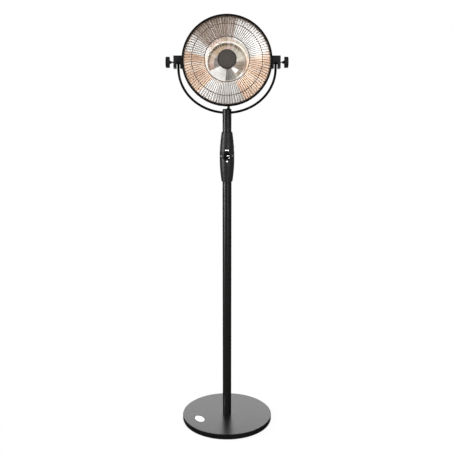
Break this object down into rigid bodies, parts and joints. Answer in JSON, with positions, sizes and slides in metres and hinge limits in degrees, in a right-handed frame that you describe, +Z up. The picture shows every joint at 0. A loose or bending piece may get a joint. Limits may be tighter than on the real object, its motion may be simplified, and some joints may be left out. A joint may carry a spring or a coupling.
{
  "type": "patio heater",
  "caption": "Free-standing radiant patio heater: tilting round dish head in a yoke on a slim pole, with a rotary control in the pole and a heavy round base.",
  "frame": {"origin": "centre of the footprint on the ground", "axes": "+Z up along the pole, -Y the way the dish faces, +X to the right seen from the front"},
  "size_m": [0.494, 0.396, 1.7676],
  "materials": {
    "powder_black": "satin",
    "bracket_casting": "matte",
    "cast_iron": "matte",
    "zinc_steel": "satin",
    "black_screws": "satin",
    "rubber": "matte",
    "badge_plate": "satin",
    "switch_body": "satin",
    "housing_plastic": "satin",
    "dial_gloss": "gloss",
    "dial_mark": "satin",
    "brass": "satin",
    "knob_plastic": "satin",
    "reflector_aluminium": "polished",
    "guard_wire": "satin",
    "ceramic": "matte",
    "heating_wire": "satin",
    "cap_enamel": "matte",
    "fibre_washer": "matte",
    "lead_sheath": "satin"
  },
  "bodies": {
    "stand": {"badge": "badge_plate", "base_ballast": "cast_iron", "base_bolts": "zinc_steel", "base_bottom_plate": "zinc_steel", "base_cover": "powder_black", "base_feet": "rubber", "bottom_plate_screws": "zinc_steel", "cable_inlet": "rubber", "clamp_plate": "zinc_steel", "head_lead": "lead_sheath", "housing_front": "housing_plastic", "housing_rear": "housing_plastic", "housing_screws": "zinc_steel", "joiner_screws": "zinc_steel", "joiner_tube": "zinc_steel", "lead_boot": "rubber", "lower_collar": "housing_plastic", "neck": "powder_black", "neck_block": "zinc_steel", "neck_cap": "powder_black", "neck_lead": "lead_sheath", "neck_screws": "black_screws", "pole": "powder_black", "pole_lead": "lead_sheath", "pole_plug": "zinc_steel", "rotary_switch": "switch_body", "tip_over_switch": "switch_body", "upper_collar": "housing_plastic", "yoke": "powder_black"},
    "dial": {"dial": "dial_gloss", "dial_pointer": "dial_mark", "dial_spindle": "brass"},
    "head": {"bracket_left": "bracket_casting", "bracket_right": "bracket_casting", "clamp_nut_left": "zinc_steel", "clamp_nut_right": "zinc_steel", "element_coil": "heating_wire", "element_core": "ceramic", "element_rod": "zinc_steel", "element_socket": "ceramic", "friction_washers_left": "fibre_washer", "friction_washers_right": "fibre_washer", "front_cap": "cap_enamel", "guard": "guard_wire", "guard_clips": "guard_wire", "head_gland": "rubber", "head_shell": "powder_black", "inner_bowl": "reflector_aluminium", "reflector": "reflector_aluminium", "rim_band": "powder_black", "rod_nut": "zinc_steel", "terminal_block": "switch_body", "terminal_cover": "housing_plastic", "terminal_screws": "zinc_steel"},
    "knob_left": {"clamp_bolt_left": "zinc_steel", "clamp_knob_left": "knob_plastic"},
    "knob_right": {"clamp_bolt_right": "zinc_steel", "clamp_knob_right": "knob_plastic"}
  },
  "joints": [
    {"name": "head_tilt", "type": "hinge", "parent": "stand", "child": "head", "pos_m": [0, 0, 1.5785], "axis": [-1, 0, 0], "range_deg": [-10, 35], "deforming": ["head_lead"]},
    {"name": "left_knob_turn", "type": "hinge", "parent": "head", "child": "knob_left", "pos_m": [-0.239, 0, 1.5785], "axis": [-1, 0, 0], "range_deg": [0, 360]},
    {"name": "right_knob_turn", "type": "hinge", "parent": "head", "child": "knob_right", "pos_m": [0.239, 0, 1.5785], "axis": [1, 0, 0], "range_deg": [0, 360]},
    {"name": "dial_turn", "type": "hinge", "parent": "stand", "child": "dial", "pos_m": [0, -0.032, 1.2035], "axis": [0, 1, 0], "range_deg": [-90, 180]}
  ]
}
